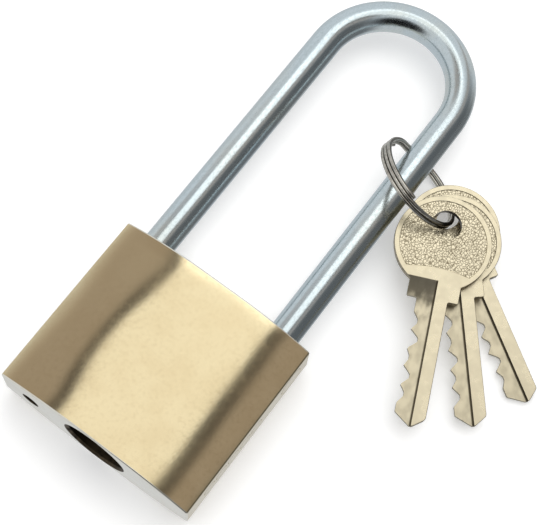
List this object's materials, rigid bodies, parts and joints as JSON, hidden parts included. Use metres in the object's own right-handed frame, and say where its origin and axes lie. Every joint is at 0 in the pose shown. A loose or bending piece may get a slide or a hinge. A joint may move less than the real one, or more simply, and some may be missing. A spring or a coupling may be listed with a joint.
{
  "type": "padlock",
  "caption": "Brass padlock with a long round steel shackle, a key-driven plug and latch inside, and flat keys on a split ring round one leg.",
  "frame": {"origin": "centre of the narrow flat on the back of the body, which is what the lock lies on", "axes": "+X across the width towards the toe leg and the pin chambers, +Y along the shackle towards its bow, +Z out of the front face"},
  "size_m": [0.0945, 0.1311, 0.0198],
  "materials": {
    "body_brass": "satin polished brass, pale gold with brown reflections",
    "plug_brass": "machined brass",
    "plated_steel": "bright zinc or chrome plated steel, bluish",
    "spring_steel": "drawn steel",
    "ring_steel": "dark nickel plated spring steel",
    "key_nickel": "warm nickel plated brass, struck heads"
  },
  "bodies": {
    "lock": {"lock_body": "body_brass", "heel_retaining_pin": "spring_steel", "plug_retaining_pin": "spring_steel", "chamber_plug_1": "body_brass", "chamber_plug_2": "body_brass", "chamber_plug_3": "body_brass", "chamber_plug_4": "body_brass", "chamber_plug_5": "body_brass", "channel_plug": "body_brass", "shackle_spring": "spring_steel", "latch_spring": "spring_steel", "pin_spring_1": "spring_steel", "pin_spring_2": "spring_steel", "pin_spring_3": "spring_steel", "pin_spring_4": "spring_steel", "pin_spring_5": "spring_steel"},
    "shackle": {"shackle": "plated_steel"},
    "latch": {"latch": "plug_brass"},
    "plug": {"plug": "plug_brass"},
    "ring": {"split_ring": "ring_steel"},
    "driver_1": {"driver_pin_1": "plug_brass"},
    "tumbler_1": {"key_pin_1": "key_nickel"},
    "driver_2": {"driver_pin_2": "plug_brass"},
    "tumbler_2": {"key_pin_2": "key_nickel"},
    "driver_3": {"driver_pin_3": "plug_brass"},
    "tumbler_3": {"key_pin_3": "key_nickel"},
    "driver_4": {"driver_pin_4": "plug_brass"},
    "tumbler_4": {"key_pin_4": "key_nickel"},
    "driver_5": {"driver_pin_5": "plug_brass"},
    "tumbler_5": {"key_pin_5": "key_nickel"},
    "key_1": {"key_1": "key_nickel"},
    "key_2": {"key_2": "key_nickel"},
    "key_3": {"key_3": "key_nickel"}
  },
  "joints": [
    {"name": "shackle_lift", "type": "slide", "parent": "lock", "child": "shackle", "axis": [0, 1, 0], "range_m": [0, 0.0125], "deforming": ["shackle_spring"]},
    {"name": "latch_draw", "type": "slide", "parent": "lock", "child": "latch", "axis": [-1, 0, 0], "range_m": [0, 0.00375], "deforming": ["latch_spring"]},
    {"name": "plug_turn", "type": "hinge", "parent": "lock", "child": "plug", "pos_m": [0, -0.0045, 0.0085], "axis": [0, -1, 0], "range_deg": [0, 90]},
    {"name": "driver_1_slide", "type": "slide", "parent": "lock", "child": "driver_1", "axis": [1, 0, 0], "range_m": [0, 0.0025], "stiffness_N_per_m": 40, "springref_m": -0.003, "deforming": ["pin_spring_1"]},
    {"name": "tumbler_1_slide", "type": "slide", "parent": "plug", "child": "tumbler_1", "axis": [-1, 0, 0], "range_m": [0, 0.001]},
    {"name": "driver_2_slide", "type": "slide", "parent": "lock", "child": "driver_2", "axis": [1, 0, 0], "range_m": [0, 0.0025], "stiffness_N_per_m": 40, "springref_m": -0.003, "deforming": ["pin_spring_2"]},
    {"name": "tumbler_2_slide", "type": "slide", "parent": "plug", "child": "tumbler_2", "axis": [-1, 0, 0], "range_m": [0, 0.001]},
    {"name": "driver_3_slide", "type": "slide", "parent": "lock", "child": "driver_3", "axis": [1, 0, 0], "range_m": [0, 0.0025], "stiffness_N_per_m": 40, "springref_m": -0.003, "deforming": ["pin_spring_3"]},
    {"name": "tumbler_3_slide", "type": "slide", "parent": "plug", "child": "tumbler_3", "axis": [-1, 0, 0], "range_m": [0, 0.001]},
    {"name": "driver_4_slide", "type": "slide", "parent": "lock", "child": "driver_4", "axis": [1, 0, 0], "range_m": [0, 0.0025], "stiffness_N_per_m": 40, "springref_m": -0.003, "deforming": ["pin_spring_4"]},
    {"name": "tumbler_4_slide", "type": "slide", "parent": "plug", "child": "tumbler_4", "axis": [-1, 0, 0], "range_m": [0, 0.001]},
    {"name": "driver_5_slide", "type": "slide", "parent": "lock", "child": "driver_5", "axis": [1, 0, 0], "range_m": [0, 0.0025], "stiffness_N_per_m": 40, "springref_m": -0.003, "deforming": ["pin_spring_5"]},
    {"name": "tumbler_5_slide", "type": "slide", "parent": "plug", "child": "tumbler_5", "axis": [-1, 0, 0], "range_m": [0, 0.001]},
    {"name": "ring_swing", "type": "hinge", "parent": "shackle", "child": "ring", "pos_m": [0.0175, 0.0715, 0.0085], "axis": [0, -1, 0], "range_deg": [-5, 120]},
    {"name": "key_1_swing", "type": "hinge", "parent": "ring", "child": "key_1", "pos_m": [0.0318, 0.0657, 0.0099], "axis": [0.0566, -0.0663, 0.9962], "range_deg": [-8, 60]},
    {"name": "key_2_swing", "type": "hinge", "parent": "ring", "child": "key_2", "pos_m": [0.0321, 0.0678, 0.0075], "axis": [0.0566, -0.0663, 0.9962], "range_deg": [-20, 45]},
    {"name": "key_3_swing", "type": "hinge", "parent": "ring", "child": "key_3", "pos_m": [0.0295, 0.0697, 0.0051], "axis": [0.0566, -0.0663, 0.9962], "range_deg": [-20, 30]}
  ],
  "couplings": [
    {"joint": "latch_draw", "follows": "shackle_lift", "ratio": 0.3},
    {"joint": "plug_turn", "follows": "shackle_lift", "rad_per_m": 125.66}
  ]
}
